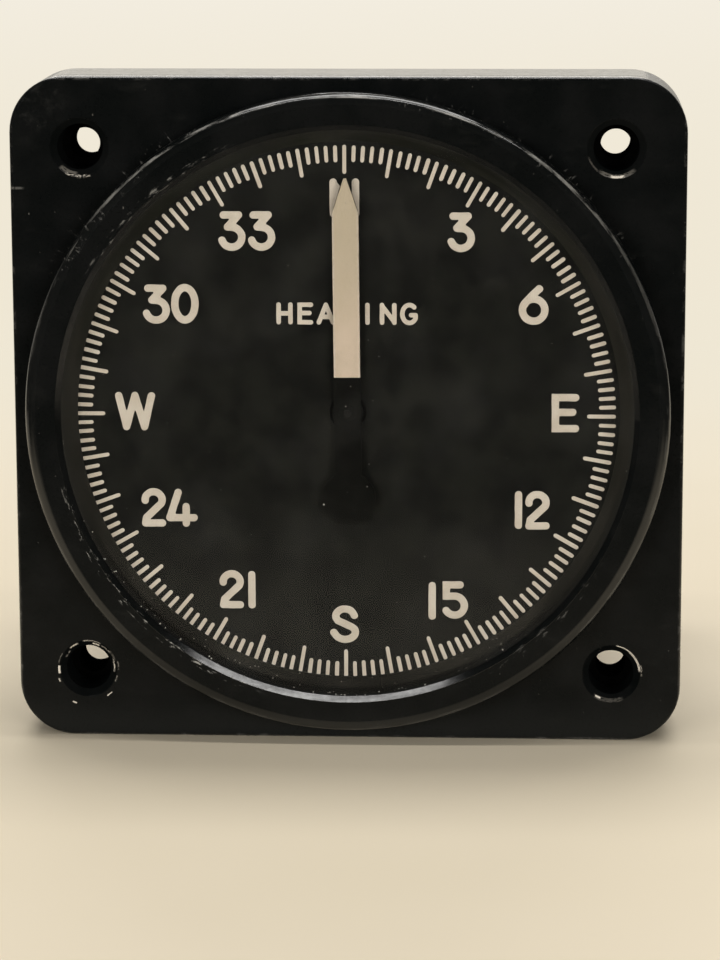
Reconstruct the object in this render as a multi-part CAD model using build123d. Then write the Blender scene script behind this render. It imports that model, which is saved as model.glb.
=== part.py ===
from build123d import *
import math
import os

# A remote indicating compass: a square panel instrument with a round boss,
# a fixed compass dial and one pointer on the shaft of a magnet rotor.
# Millimetres. The origin is where the dial's axis meets the front face of the flange.
# X points right, Y into the instrument and Z up, so the dial faces -Y.

# Running and assembly clearances
fit_gap = 0.05
thread_gap = 0.02
pivot_gap = 0.03

# How far a cutting shape runs past the surface it cuts
cut_past = 1.0

# Flange and its four mounting holes
flange_size = 79.4
flange_depth = 12.0
flange_corner_r = 6.6
flange_edge_r = 0.5
hole_spacing = 62.87
hole_r = 2.7
hole_mouth_r = 3.5
hole_mouth_depth = 0.8
insert_length = 6.5
insert_r = 2.95
insert_bore_r = 1.8
insert_groove_depth = 0.35
insert_groove_width = 1.2

# Boss, its lip and the bore behind it
boss_r = 38.1
boss_height = 3.6
boss_edge_r = 1.4
boss_wall = 2.6
lip_width = 3.7
lip_thickness = 1.0
lip_bevel = 0.6
lip_land = 0.3
spigot_wall = 1.7
spigot_length = 8.0

# What the bore holds, from the lip backwards
gasket_thickness = 0.3
gasket_width = 1.0
glass_thickness = 1.2
mask_depth = 1.7
mask_edge = 0.25
mask_setback = 0.2
mask_slope = 2.0
dial_thickness = 0.8
dial_hole_r = 2.2
plate_thickness = 2.0
plate_hole_r = 3.4
clamp_depth = 3.6
clamp_width = 3.95
clamp_slot_width = 2.6
clamp_slot_depth = 1.4
clamp_slots = 4

# Graduations of the dial
mark_count = 180
mark_margin = 0.3
mark_width = 0.45
mark_length = 2.0
long_mark_length = 3.4
long_mark_every = 5
mark_height = 0.04

# Pointer
pointer_heading = -0.5
pointer_width = 3.15
pointer_tip_gap = 0.5
pointer_tip_length = 4.2
pointer_tip_width = 0.5
pointer_thickness = 0.25
pointer_to_glass = 0.6
coat_thickness = 0.1
coat_margin = 0.08
coat_start = 4.35
tail_disc_r = 3.2
tail_disc_at = 10.2
hub_flange_r = 1.8
hub_flange_depth = 0.45
hub_spigot_r = 1.0
hub_barrel_r = 1.3
hub_length = 2.4

# Densities in grams per cubic millimetre, for the balance of the pointer
aluminium_density = 0.0027
brass_density = 0.0085
coat_density = 0.0011

# Rotor shaft and magnet
pointer_seat_r = 0.45
journal_r = 0.5
journal_length = 1.25
shaft_r = 0.9
pivot_r = 0.4
pivot_length = 1.4
pivot_tip_r = 0.12
pivot_tip_length = 0.3
magnet_r = 7.6
magnet_bush_r = 3.0

# Bearings
front_bush_r = 3.0
front_bush_reach = 0.4
jewel_r = 1.3
jewel_thickness = 0.8
jewel_setback = 1.0
bush_front_bore_r = 0.8
bush_rear_bore_r = 1.2
cup_jewel_r = 1.2
cup_jewel_length = 1.6
cup_depth = 1.15
shaft_end_play = 0.15
pivot_end_play = 0.05
bearing_screw_r = 2.5
bearing_screw_length = 8.2
bearing_screw_mouth = 0.8
slot_width = 0.8
slot_depth = 0.8
lock_nut_flats = 7.0
lock_nut_height = 1.4

# Stator and its housing
motor_r = 20.0
motor_wall = 2.2
motor_length = 30.4
cap_thickness = 2.2
cap_flange_r = 24.0
cap_flange_thickness = 2.2
cap_boss_r = 5.0
front_boss_length = 3.0
rear_boss_r = 4.6
rear_boss_length = 3.5
cap_spigot_wall = 1.75
stack_length = 16.0
stack_offset = 6.4
flux_ring_wall = 2.3
winding_end = 0.5
winding_wall = 1.5
winding_inner_r = 8.2
winding_sectors = 3
winding_gap_deg = 8.0

# Screws of the motor
motor_screw_circle_r = 22.0
motor_screw_r = 1.0
motor_screw_head_r = 1.85
motor_screw_head = 1.5
motor_screw_tip_gap = 0.2
cap_screw_circle_r = 18.9
cap_screw_r = 0.8
cap_screw_head_r = 1.0
cap_screw_head = 1.3
cap_screw_grip = 6.0
cap_screw_turn = 15

# Terminal board behind the motor
board_r = 17.0
board_thickness = 1.6
board_hole_r = 4.0
board_circle_r = 12.5
pillar_turn = 60
pillar_r = 1.8
pillar_length = 4.8
pillar_stud_r = 0.9
pillar_stud_length = 1.8
board_screw_r = 0.7
board_screw_length = 4.8
board_screw_head_r = 1.5
board_screw_head = 1.2
board_screw_tip_gap = 0.2
terminal_r = 0.7
terminal_collar_r = 1.3
terminal_collar = 0.5
terminal_front = 1.0
terminal_rear = 2.9

# Leads
lead_r = 0.45
lead_hole_r = 1.1
lead_cup_reach = 2.0
motor_lead_rise = 2.2
motor_lead_slope = 2.8
motor_lead_bends = [2.5, 3.5]
connector_lead_rise = 2.6
connector_lead_bends = [2.2, 2.2]

# Rear case
case_wall = 1.1
case_back_wall = 1.2
case_length = 54.0
case_edge_r = 3.0
case_neck_length = 10.0
case_step = 3.7
case_step_length = 3.5
case_step_edge_r = 0.8
seal_offset = 6.0
seal_width = 1.2
seal_depth = 0.8
case_screw_offset = 3.4
case_screw_r = 1.1
case_screw_head_r = 2.0
case_screw_head = 1.3
case_screw_tip_gap = 0.2
cap_screw_tip_room = 1.0

# Heads of the slotted screws
drive_slot_width = 0.6
drive_slot_depth = 0.6
head_bevel_share = 0.3

# Connector on the back
socket_screw_spacing = 18.26
socket_flange_margin = 3.57
socket_flange_thickness = 2.4
socket_flange_corner_r = 1.8
socket_screw_r = 1.4
socket_screw_hole_r = 1.5
socket_screw_head_r = 2.6
socket_screw_head = 1.7
socket_screw_length = 7.0
socket_nut_flats = 6.35
socket_nut_height = 2.2
socket_gasket = 0.8
barrel_r = 7.94
barrel_length = 11.0
barrel_bore_r = 6.5
barrel_edge = 0.5
socket_rear_r = 7.4
socket_rear_length = 7.8
socket_rear_lip = 1.2
socket_rear_lip_r = 5.4
socket_depth = 9.0
key_width = 1.6
key_height = 0.8
key_setback = 1.2
pin_count = 3
pin_circle_r = 2.3
pin_r = 0.79
pin_tip_setback = 1.6
pin_tip_bevel = 0.35
pin_cup_r = 1.1
pin_cup_bore_r = 0.5
pin_cup_length = 2.6

# Radii that follow from the boss, from the outside inwards
lip_r = boss_r - lip_width
bore_r = boss_r - boss_wall
spigot_r = bore_r + spigot_wall
seat_r = bore_r - fit_gap
mask_front_r = lip_r - mask_setback
mask_back_r = mask_front_r - mask_slope
mark_outer_r = mask_back_r - mark_margin
pointer_reach = mark_outer_r - long_mark_length - pointer_tip_gap
clamp_inner_r = seat_r - clamp_width

# Places along Y that follow from the sizes above
boss_front = -boss_height
lip_back = boss_front + lip_thickness
glass_front = lip_back + gasket_thickness
glass_back = glass_front + glass_thickness
dial_front = glass_back + mask_depth
dial_back = dial_front + dial_thickness
plate_back = dial_back + plate_thickness
spigot_back = flange_depth + spigot_length
insert_front = flange_depth - insert_length
pointer_front = glass_back + pointer_to_glass
pointer_back = pointer_front + pointer_thickness

cap_back = plate_back + cap_flange_thickness
motor_back = cap_back + motor_length
rear_cap_back = motor_back + cap_thickness
motor_inner_r = motor_r - motor_wall
stack_front = cap_back + stack_offset
stack_back = stack_front + stack_length
flux_outer_r = motor_inner_r - fit_gap
flux_inner_r = flux_outer_r - flux_ring_wall
winding_outer_r = flux_inner_r - fit_gap
core_inner_r = winding_inner_r + winding_wall
core_outer_r = winding_outer_r - winding_wall
core_front = stack_front - winding_end + winding_wall
core_back = stack_back + winding_end - winding_wall

jewel_front = plate_back - front_bush_reach + jewel_setback
jewel_back = jewel_front + jewel_thickness
bush_front = plate_back - front_bush_reach
bush_back = cap_back + front_boss_length
shaft_shoulder = jewel_back + shaft_end_play
bearing_screw_front = motor_back - rear_boss_length - bearing_screw_mouth
bearing_screw_back = bearing_screw_front + bearing_screw_length
cup_front = bearing_screw_front + bearing_screw_mouth
cup_back = cup_front + cup_jewel_length
pivot_end = cup_front + cup_depth - pivot_end_play
shaft_end = pivot_end - pivot_tip_length - pivot_length

board_front = rear_cap_back + pillar_length
board_back = board_front + board_thickness
terminal_front_end = board_front - terminal_front
terminal_rear_end = board_back + terminal_rear
lead_mid_r = (core_inner_r + core_outer_r) / 2

case_inner_r = spigot_r + fit_gap
case_r = case_inner_r + case_wall
case_neck_back = flange_depth + case_neck_length
case_back = flange_depth + case_length
case_back_inner = case_back - case_back_wall
case_screw_y = flange_depth + case_screw_offset
seal_front = flange_depth + seal_offset
socket_flange = socket_screw_spacing + 2 * socket_flange_margin
socket_front = case_back + socket_gasket
barrel_front = socket_front + socket_flange_thickness
barrel_back = barrel_front + barrel_length
socket_rear_end = socket_front - socket_rear_length
insert_face = barrel_back - socket_depth
insert_rear = socket_rear_end + socket_rear_lip
insert_body_r = barrel_bore_r - fit_gap
pin_cup_end = insert_rear - pin_cup_length

# Directions round the axis, counted clockwise from the top as the dial is read
flange_corners = [45, 135, 225, 315]
lead_angles = [360 / pin_count * i for i in range(pin_count)]
pillar_angles = [angle + pillar_turn for angle in lead_angles]
motor_screw_angles = [angle + pillar_turn for angle in lead_angles]
cap_screw_angles = [angle + cap_screw_turn for angle in lead_angles]


def at_angle(radius, angle, y):
    """A point at a radius and a dial angle, at depth y."""
    turn = math.radians(angle)
    return Vector(radius * math.sin(turn), y, radius * math.cos(turn))


def facing_front(x, y, z):
    """A drawing plane seen from the front: its X is right and its Y is up."""
    return Plane(origin=(x, y, z), x_dir=(1, 0, 0), z_dir=(0, -1, 0))


def plate(sketch, front, back, x=0, z=0):
    """A flat sketch given depth from front to back."""
    return extrude(facing_front(x, back, z) * sketch, amount=back - front)


def rod(radius, front, back, x=0, z=0):
    """A round bar along Y."""
    return plate(Circle(radius), front, back, x, z)


def ring(outer, inner, front, back):
    """A ring round the axis."""
    return plate(Circle(outer) - Circle(inner), front, back)


def turned(outline):
    """A solid turned round the Y axis, from (radius, y) corners."""
    return revolve(make_face(Polyline(*outline, close=True)), Axis.Y)


def moved_to(solid, radius, angle):
    """A solid made on the axis, carried out to a radius and a dial angle."""
    return Pos(*at_angle(radius, angle, 0)) * solid


def group(solids):
    """Separate solids kept together in one node."""
    return Compound(children=list(solids))


def screw(shank_r, head_r, head_height, head_at, tip_at):
    """A bevelled cheese-head screw on the axis, its head towards the back, with a driving slot."""
    head_back = head_at + head_height
    body = rod(head_r, head_at, head_back) + rod(shank_r, tip_at, head_at)
    body = chamfer(body.faces().sort_by(Axis.Y)[-1].edges(), head_height * head_bevel_share)
    slot = Rectangle(3 * head_r, drive_slot_width)
    return body - plate(slot, head_back - drive_slot_depth, head_back + cut_past)


def hex_nut(flats, bore_r, front, back):
    """A hexagonal nut on the axis."""
    return plate(RegularPolygon(flats / 2, 6, major_radius=False) - Circle(bore_r), front, back)


def front_housing():
    """Square flange, boss with its lip, and the spigot that the rear case slides on."""
    square = RectangleRounded(flange_size, flange_size, flange_corner_r)
    block = plate(square, 0, flange_depth)
    block = fillet(block.faces().sort_by(Axis.Y)[0].edges(), flange_edge_r)
    boss = fillet(rod(boss_r, boss_front, flange_depth).edges().sort_by(Axis.Y)[0], boss_edge_r)
    body = block + boss + rod(spigot_r, 0, spigot_back)
    body -= rod(bore_r, lip_back, spigot_back)
    body -= lip_opening()
    for angle in flange_corners:
        body -= moved_to(mounting_hole(), hole_spacing / math.sqrt(2), angle)
    groove_r = spigot_r - seal_depth
    body -= ring(spigot_r + cut_past, groove_r, seal_front, seal_front + seal_width)
    tapped_r = case_screw_r + thread_gap
    for angle in flange_corners:
        body -= radial_rod(tapped_r, bore_r - cut_past, spigot_r + cut_past, angle, case_screw_y)
    return body


def lip_opening():
    """The round window in front of the glass, bevelled towards the front."""
    land_r = lip_r - lip_bevel
    return turned([
        (0, boss_front),
        (lip_r, boss_front),
        (land_r, lip_back - lip_land),
        (land_r, lip_back),
        (0, lip_back),
    ])


def mounting_hole():
    """The stepped hole for one panel screw and its threaded insert."""
    return turned([
        (0, 0),
        (hole_mouth_r, 0),
        (hole_r, hole_mouth_depth),
        (hole_r, insert_front),
        (insert_r + thread_gap, insert_front),
        (insert_r + thread_gap, flange_depth),
        (0, flange_depth),
    ])


def mounting_insert():
    """A threaded insert with a locking groove round its middle."""
    middle = insert_front + insert_length / 2
    body = ring(insert_r, insert_bore_r, insert_front, flange_depth)
    groove_r = insert_r - insert_groove_depth
    half = insert_groove_width / 2
    return body - ring(insert_r + cut_past, groove_r, middle - half, middle + half)


def radial_rod(radius, inner, outer, angle, y):
    """A round bar that points away from the axis at a dial angle."""
    direction = at_angle(1, angle, 0)
    start = Plane(origin=at_angle(inner, angle, y), x_dir=(0, 1, 0), z_dir=direction)
    return extrude(start * Circle(radius), amount=outer - inner)


def case_screw(angle):
    """A cheese-head screw through the rear case into the spigot."""
    tip = bore_r + case_screw_tip_gap
    upright = Rot(90, 0, 0) * screw(case_screw_r, case_screw_head_r, case_screw_head, case_r, tip)
    return Pos(0, case_screw_y, 0) * Rot(0, angle, 0) * upright


def mask_ring():
    """The conical ring that leads the eye from the glass down to the dial."""
    return turned([
        (seat_r, glass_back),
        (mask_front_r, glass_back),
        (mask_back_r, dial_front - mask_edge),
        (mask_back_r, dial_front),
        (seat_r, dial_front),
    ])


def dial_graduations():
    """Raised white marks, every fifth one longer."""
    marks = []
    for i in range(mark_count):
        length = long_mark_length if i % long_mark_every == 0 else mark_length
        bar = plate(Rectangle(mark_width, length), dial_front - mark_height, dial_front)
        bar = Pos(0, 0, mark_outer_r - length / 2) * bar
        marks.append(bar.rotate(Axis.Y, 360 / mark_count * i))
    return group(marks)


def mounting_plate():
    """The round plate behind the dial that carries the motor."""
    body = ring(seat_r, plate_hole_r, dial_back, plate_back)
    for angle in motor_screw_angles:
        hole = rod(motor_screw_r + thread_gap, dial_back, plate_back)
        body -= moved_to(hole, motor_screw_circle_r, angle)
    return body


def clamp_ring():
    """The threaded ring that holds the whole stack against the lip, with spanner slots."""
    back = plate_back + clamp_depth
    body = ring(seat_r, clamp_inner_r, plate_back, back)
    for i in range(clamp_slots):
        cut = plate(Rectangle(clamp_slot_width, 2 * bore_r), back - clamp_slot_depth, back)
        half = Pos(0, 0, bore_r) * cut
        body -= half.rotate(Axis.Y, 360 / clamp_slots * i)
    return body


def pointer_outline(width, reach, start):
    """The pencil-shaped hand from a start height up to its tip."""
    shoulder = reach - pointer_tip_length
    half = width / 2
    tip = pointer_tip_width / 2 * width / pointer_width
    hand = Polyline(
        (-half, start),
        (-half, shoulder),
        (-tip, reach),
        (tip, reach),
        (half, shoulder),
        (half, start),
        close=True,
    )
    return make_face(hand)


def pointer_blade():
    """The hand, its tail and the round end of the tail, stamped from one sheet."""
    outline = pointer_outline(pointer_width, pointer_reach, -tail_disc_at)
    outline += Pos(0, -tail_disc_at) * Circle(tail_disc_r)
    outline -= Circle(hub_spigot_r + thread_gap)
    return plate(outline, pointer_front, pointer_back).rotate(Axis.Y, pointer_heading)


def pointer_luminous_coat():
    """The cream coat on the front of the hand."""
    width = pointer_width - 2 * coat_margin
    outline = pointer_outline(width, pointer_reach - coat_margin, coat_start)
    coat = plate(outline, pointer_front - coat_thickness, pointer_front)
    return coat.rotate(Axis.Y, pointer_heading)


def balance_weight(blade, coat):
    """A disc behind the tail, as thick as it takes to balance the hand about the shaft."""
    blade_moment = blade.volume * aluminium_density * blade.center(CenterOf.MASS).Z
    coat_moment = coat.volume * coat_density * coat.center(CenterOf.MASS).Z
    area = math.pi * tail_disc_r ** 2
    arm = tail_disc_at * math.cos(math.radians(pointer_heading))
    thickness = (blade_moment + coat_moment) / (area * brass_density * arm)
    disc = rod(tail_disc_r, pointer_back, pointer_back + thickness, 0, -tail_disc_at)
    return disc.rotate(Axis.Y, pointer_heading)


def pointer_hub():
    """The bush that is riveted into the hand and pressed on the shaft."""
    bore = pointer_seat_r + thread_gap
    back = pointer_back + hub_length
    flange_back = pointer_back + hub_flange_depth
    return turned([
        (bore, pointer_front),
        (hub_spigot_r, pointer_front),
        (hub_spigot_r, pointer_back),
        (hub_flange_r, pointer_back),
        (hub_flange_r, flange_back),
        (hub_barrel_r, flange_back),
        (hub_barrel_r, back),
        (bore, back),
    ])


def rotor_shaft():
    """The arbor, from the pointer seat through both bearings."""
    journal_front = shaft_shoulder - journal_length
    return turned([
        (0, pointer_front),
        (pointer_seat_r, pointer_front),
        (pointer_seat_r, journal_front),
        (journal_r, journal_front),
        (journal_r, shaft_shoulder),
        (shaft_r, shaft_shoulder),
        (shaft_r, shaft_end),
        (pivot_r, shaft_end),
        (pivot_r, pivot_end - pivot_tip_length),
        (pivot_tip_r, pivot_end),
        (0, pivot_end),
    ])


def front_bearing_bush():
    """The brass bush that holds the front jewel."""
    return turned([
        (bush_front_bore_r, bush_front),
        (front_bush_r, bush_front),
        (front_bush_r, bush_back),
        (bush_rear_bore_r, bush_back),
        (bush_rear_bore_r, jewel_back),
        (jewel_r + thread_gap, jewel_back),
        (jewel_r + thread_gap, jewel_front),
        (bush_front_bore_r, jewel_front),
    ])


def rear_bearing_screw():
    """The adjustable screw that holds the cup jewel, with a driver slot."""
    seat = cup_jewel_r + thread_gap
    body = turned([
        (seat, bearing_screw_front),
        (bearing_screw_r, bearing_screw_front),
        (bearing_screw_r, bearing_screw_back),
        (0, bearing_screw_back),
        (0, cup_back),
        (seat, cup_back),
    ])
    slot_front = bearing_screw_back - slot_depth
    slot = plate(Rectangle(3 * bearing_screw_r, slot_width), slot_front, bearing_screw_back)
    return body - slot


def rear_jewel():
    """The cup jewel that takes the rear pivot."""
    cup = rod(pivot_r + pivot_gap, cup_front, cup_front + cup_depth)
    return rod(cup_jewel_r, cup_front, cup_back) - cup


def motor_front_cap():
    """The front end of the motor: a flange, a bearing boss and a locating spigot."""
    body = rod(cap_flange_r, plate_back, cap_back)
    body += rod(cap_boss_r, cap_back, bush_back)
    body += ring(flux_outer_r, flux_outer_r - cap_spigot_wall, cap_back, stack_front)
    body -= rod(front_bush_r + thread_gap, plate_back, bush_back)
    for angle in motor_screw_angles:
        hole = rod(motor_screw_r + fit_gap, plate_back, cap_back)
        body -= moved_to(hole, motor_screw_circle_r, angle)
    return body


def motor_housing():
    """The tube round the stator, tapped at the back for the rear cap."""
    body = ring(motor_r, motor_inner_r, cap_back, motor_back)
    for angle in cap_screw_angles:
        hole_front = motor_back - cap_screw_grip - cap_screw_tip_room
        hole = rod(cap_screw_r + thread_gap, hole_front, motor_back)
        body -= moved_to(hole, cap_screw_circle_r, angle)
    return body


def motor_rear_cap():
    """The rear end of the motor, with holes for the screws, the pillars and the leads."""
    body = rod(motor_r, motor_back, rear_cap_back)
    body += rod(rear_boss_r, motor_back - rear_boss_length, motor_back)
    body += ring(flux_outer_r, flux_outer_r - cap_spigot_wall, stack_back, motor_back)
    body -= rod(bearing_screw_r + thread_gap, bearing_screw_front, rear_cap_back)
    for angle in cap_screw_angles:
        hole = rod(cap_screw_r + fit_gap, motor_back, rear_cap_back)
        body -= moved_to(hole, cap_screw_circle_r, angle)
    for angle in pillar_angles:
        hole = rod(pillar_stud_r + thread_gap, rear_cap_back - pillar_stud_length, rear_cap_back)
        body -= moved_to(hole, board_circle_r, angle)
    for angle in lead_angles:
        hole = rod(lead_hole_r, motor_back, rear_cap_back)
        body -= moved_to(hole, board_circle_r, angle)
    return body


def stator_winding():
    """Coils that wrap the ring core in equal sectors, with a gap between them."""
    front = stack_front - winding_end
    back = stack_back + winding_end
    sector = 360 / winding_sectors
    wound = ring(winding_outer_r, winding_inner_r, front, back)
    wound -= ring(core_outer_r, core_inner_r, core_front, core_back)
    gap_width = math.radians(winding_gap_deg) * winding_inner_r
    gap_length = winding_outer_r + cut_past
    for i in range(winding_sectors):
        gap = plate(Rectangle(gap_width, gap_length), front, back, 0, gap_length / 2)
        wound -= gap.rotate(Axis.Y, sector * (i + 0.5))
    return group(wound.solids())


def terminal_board():
    """The insulating disc that carries the terminals."""
    body = ring(board_r, board_hole_r, board_front, board_back)
    for angle in pillar_angles:
        hole = rod(board_screw_r + fit_gap, board_front, board_back)
        body -= moved_to(hole, board_circle_r, angle)
    for angle in lead_angles:
        hole = rod(terminal_r + thread_gap, board_front, board_back)
        body -= moved_to(hole, board_circle_r, angle)
    return body


def board_pillar():
    """A pillar with a stud in the rear cap and a tapped rear end."""
    body = rod(pillar_r, rear_cap_back, board_front)
    body += rod(pillar_stud_r, rear_cap_back - pillar_stud_length, rear_cap_back)
    tapped = board_back - board_screw_length - board_screw_tip_gap
    return body - rod(board_screw_r + thread_gap, tapped, board_front)


def terminal():
    """A turned terminal with a collar on each side of the board."""
    return turned([
        (0, terminal_front_end),
        (terminal_r, terminal_front_end),
        (terminal_r, board_front - terminal_collar),
        (terminal_collar_r, board_front - terminal_collar),
        (terminal_collar_r, board_front),
        (terminal_r, board_front),
        (terminal_r, board_back),
        (terminal_collar_r, board_back),
        (terminal_collar_r, board_back + terminal_collar),
        (terminal_r, board_back + terminal_collar),
        (terminal_r, terminal_rear_end),
        (0, terminal_rear_end),
    ])


def lead(route, radii, angle):
    """A round lead along a route of (radius, y) points at one dial angle."""
    points = [at_angle(radius, angle, y) for radius, y in route]
    path = FilletPolyline(*points, radius=radii)
    start = Plane(origin=points[0], z_dir=points[1] - points[0])
    return sweep(start * Circle(lead_r), path=path)


def motor_lead(angle):
    """From the winding through the rear cap to the front of its terminal."""
    winding_back = stack_back + winding_end
    route = [
        (lead_mid_r, winding_back),
        (lead_mid_r, winding_back + motor_lead_rise),
        (board_circle_r, winding_back + motor_lead_rise + motor_lead_slope),
        (board_circle_r, terminal_front_end),
    ]
    return lead(route, motor_lead_bends, angle)


def connector_lead(angle):
    """From the back of a terminal into the solder cup of its pin."""
    cup_floor = pin_cup_end + lead_cup_reach
    route = [
        (board_circle_r, terminal_rear_end),
        (board_circle_r, terminal_rear_end + connector_lead_rise),
        (pin_circle_r, pin_cup_end - connector_lead_rise),
        (pin_circle_r, cup_floor),
    ]
    return lead(route, connector_lead_bends, angle)


def stepped_cylinder(radius, back, edge_r):
    """The case's form: a wide neck, a conical step and a narrower body with a rounded rear edge."""
    body = turned([
        (0, flange_depth),
        (radius, flange_depth),
        (radius, case_neck_back),
        (radius - case_step, case_neck_back + case_step_length),
        (radius - case_step, back),
        (0, back),
    ])
    circles = body.edges().filter_by(GeomType.CIRCLE).sort_by(Axis.Y)
    body = fillet(circles[-1], edge_r)
    circles = body.edges().filter_by(GeomType.CIRCLE).sort_by(Axis.Y)
    return fillet(circles[1:3], case_step_edge_r)


def rear_case():
    """The drawn can over the motor."""
    body = stepped_cylinder(case_r, case_back, case_edge_r)
    body -= stepped_cylinder(case_inner_r, case_back_inner, case_edge_r - case_wall)
    for angle in flange_corners:
        body -= radial_rod(case_screw_r + fit_gap, bore_r, case_r + cut_past, angle, case_screw_y)
    body -= rod(socket_rear_r + fit_gap, case_back_inner, case_back)
    for angle in flange_corners:
        hole = rod(socket_screw_hole_r, case_back_inner, case_back)
        body -= moved_to(hole, socket_screw_spacing / math.sqrt(2), angle)
    return body


def connector_gasket():
    """The flat gasket under the connector's flange."""
    square = RectangleRounded(socket_flange, socket_flange, socket_flange_corner_r)
    body = plate(square - Circle(socket_rear_r + fit_gap), case_back, socket_front)
    for angle in flange_corners:
        hole = rod(socket_screw_hole_r, case_back, socket_front)
        body -= moved_to(hole, socket_screw_spacing / math.sqrt(2), angle)
    return body


def connector_shell():
    """The box-mounted shell: square flange, threaded barrel and an inner key."""
    square = RectangleRounded(socket_flange, socket_flange, socket_flange_corner_r)
    body = plate(square, socket_front, barrel_front)
    barrel = rod(barrel_r, barrel_front, barrel_back)
    body += chamfer(barrel.edges().sort_by(Axis.Y)[-1], barrel_edge)
    body += rod(socket_rear_r, socket_rear_end, socket_front)
    body -= rod(barrel_bore_r, insert_rear, barrel_back)
    body -= rod(socket_rear_lip_r, socket_rear_end, insert_rear)
    key_root = (barrel_r + barrel_bore_r) / 2
    key_edge = barrel_bore_r - key_height
    key_shape = Rectangle(key_width, key_root - key_edge)
    key_centre = (key_root + key_edge) / 2
    body += plate(key_shape, insert_face, barrel_back - key_setback, 0, key_centre)
    for angle in flange_corners:
        hole = rod(socket_screw_hole_r, socket_front, barrel_front)
        body -= moved_to(hole, socket_screw_spacing / math.sqrt(2), angle)
    return body


def connector_insert():
    """The insulating body that holds the pins."""
    body = rod(insert_body_r, insert_rear, insert_face)
    for angle in lead_angles:
        hole = rod(pin_r + thread_gap, insert_rear, insert_face)
        body -= moved_to(hole, pin_circle_r, angle)
    return body


def connector_pin():
    """A pin with a bevelled tip and, behind the insert, a solder cup."""
    body = rod(pin_r, insert_rear, barrel_back - pin_tip_setback)
    body = chamfer(body.edges().sort_by(Axis.Y)[-1], pin_tip_bevel)
    body += rod(pin_cup_r, pin_cup_end, insert_rear)
    return body - rod(pin_cup_bore_r, pin_cup_end, pin_cup_end + lead_cup_reach + fit_gap)


def spread(solid, radius, angles):
    """Copies of one solid at a radius and several dial angles, as one group."""
    return group([moved_to(solid, radius, angle) for angle in angles])


def motor_screw():
    """A screw from the motor's flange into the mounting plate."""
    tip = dial_back + motor_screw_tip_gap
    return screw(motor_screw_r, motor_screw_head_r, motor_screw_head, cap_back, tip)


def cap_screw():
    """A screw from the rear cap into the motor's housing."""
    tip = motor_back - cap_screw_grip
    return screw(cap_screw_r, cap_screw_head_r, cap_screw_head, rear_cap_back, tip)


def board_screw():
    """A screw from the terminal board into a pillar."""
    tip = board_back - board_screw_length
    return screw(board_screw_r, board_screw_head_r, board_screw_head, board_back, tip)


def connector_screw():
    """A screw through the connector's flange and the back of the case."""
    tip = barrel_front - socket_screw_length
    return screw(socket_screw_r, socket_screw_head_r, socket_screw_head, barrel_front, tip)


def build():
    """All the nodes by name."""
    hole_circle = hole_spacing / math.sqrt(2)
    socket_circle = socket_screw_spacing / math.sqrt(2)
    blade = pointer_blade()
    coat = pointer_luminous_coat()
    nut_back = case_back_inner
    lock_nut_back = rear_cap_back + lock_nut_height
    magnet_bore = magnet_bush_r + thread_gap
    return {
        "front_housing": front_housing(),
        "mounting_inserts": spread(mounting_insert(), hole_circle, flange_corners),
        "glass_gasket": ring(seat_r, seat_r - gasket_width, lip_back, glass_front),
        "cover_glass": rod(seat_r, glass_front, glass_back),
        "mask_ring": mask_ring(),
        "dial_plate": ring(seat_r, dial_hole_r, dial_front, dial_back),
        "dial_graduations": dial_graduations(),
        "pointer_blade": blade,
        "pointer_luminous_coat": coat,
        "balance_weight": balance_weight(blade, coat),
        "pointer_hub": pointer_hub(),
        "rotor_shaft": rotor_shaft(),
        "magnet_bush": ring(magnet_bush_r, shaft_r + thread_gap, core_front, core_back),
        "rotor_magnet": ring(magnet_r, magnet_bore, core_front, core_back),
        "mounting_plate": mounting_plate(),
        "clamp_ring": clamp_ring(),
        "front_bearing_bush": front_bearing_bush(),
        "front_jewel": ring(jewel_r, journal_r + pivot_gap, jewel_front, jewel_back),
        "motor_front_cap": motor_front_cap(),
        "motor_screws": spread(motor_screw(), motor_screw_circle_r, motor_screw_angles),
        "motor_housing": motor_housing(),
        "flux_ring": ring(flux_outer_r, flux_inner_r, stack_front, stack_back),
        "stator_winding": stator_winding(),
        "stator_core": ring(
            core_outer_r - fit_gap, core_inner_r + fit_gap, core_front + fit_gap, core_back - fit_gap
        ),
        "motor_rear_cap": motor_rear_cap(),
        "rear_cap_screws": spread(cap_screw(), cap_screw_circle_r, cap_screw_angles),
        "rear_bearing_screw": rear_bearing_screw(),
        "rear_jewel": rear_jewel(),
        "bearing_lock_nut": hex_nut(
            lock_nut_flats, bearing_screw_r + thread_gap, rear_cap_back, lock_nut_back
        ),
        "board_pillars": spread(board_pillar(), board_circle_r, pillar_angles),
        "terminal_board": terminal_board(),
        "board_screws": spread(board_screw(), board_circle_r, pillar_angles),
        "terminals": spread(terminal(), board_circle_r, lead_angles),
        "motor_leads": group([motor_lead(angle) for angle in lead_angles]),
        "connector_leads": group([connector_lead(angle) for angle in lead_angles]),
        "rear_case": rear_case(),
        "case_seal": ring(spigot_r, spigot_r - seal_depth, seal_front, seal_front + seal_width),
        "case_screws": group([case_screw(angle) for angle in flange_corners]),
        "connector_gasket": connector_gasket(),
        "connector_shell": connector_shell(),
        "connector_insert": connector_insert(),
        "connector_pins": spread(connector_pin(), pin_circle_r, lead_angles),
        "connector_screws": spread(connector_screw(), socket_circle, flange_corners),
        "connector_nuts": spread(
            hex_nut(
                socket_nut_flats,
                socket_screw_r + thread_gap,
                nut_back - socket_nut_height,
                nut_back,
            ),
            socket_circle,
            flange_corners,
        ),
    }


os.makedirs("parts", exist_ok=True)
for name, solid in build().items():
    export_step(solid, os.path.join("parts", name + ".step"))
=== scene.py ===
"""Looks of a remote indicating compass: a square-flanged panel instrument with one pointer."""

import math
import random

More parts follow.
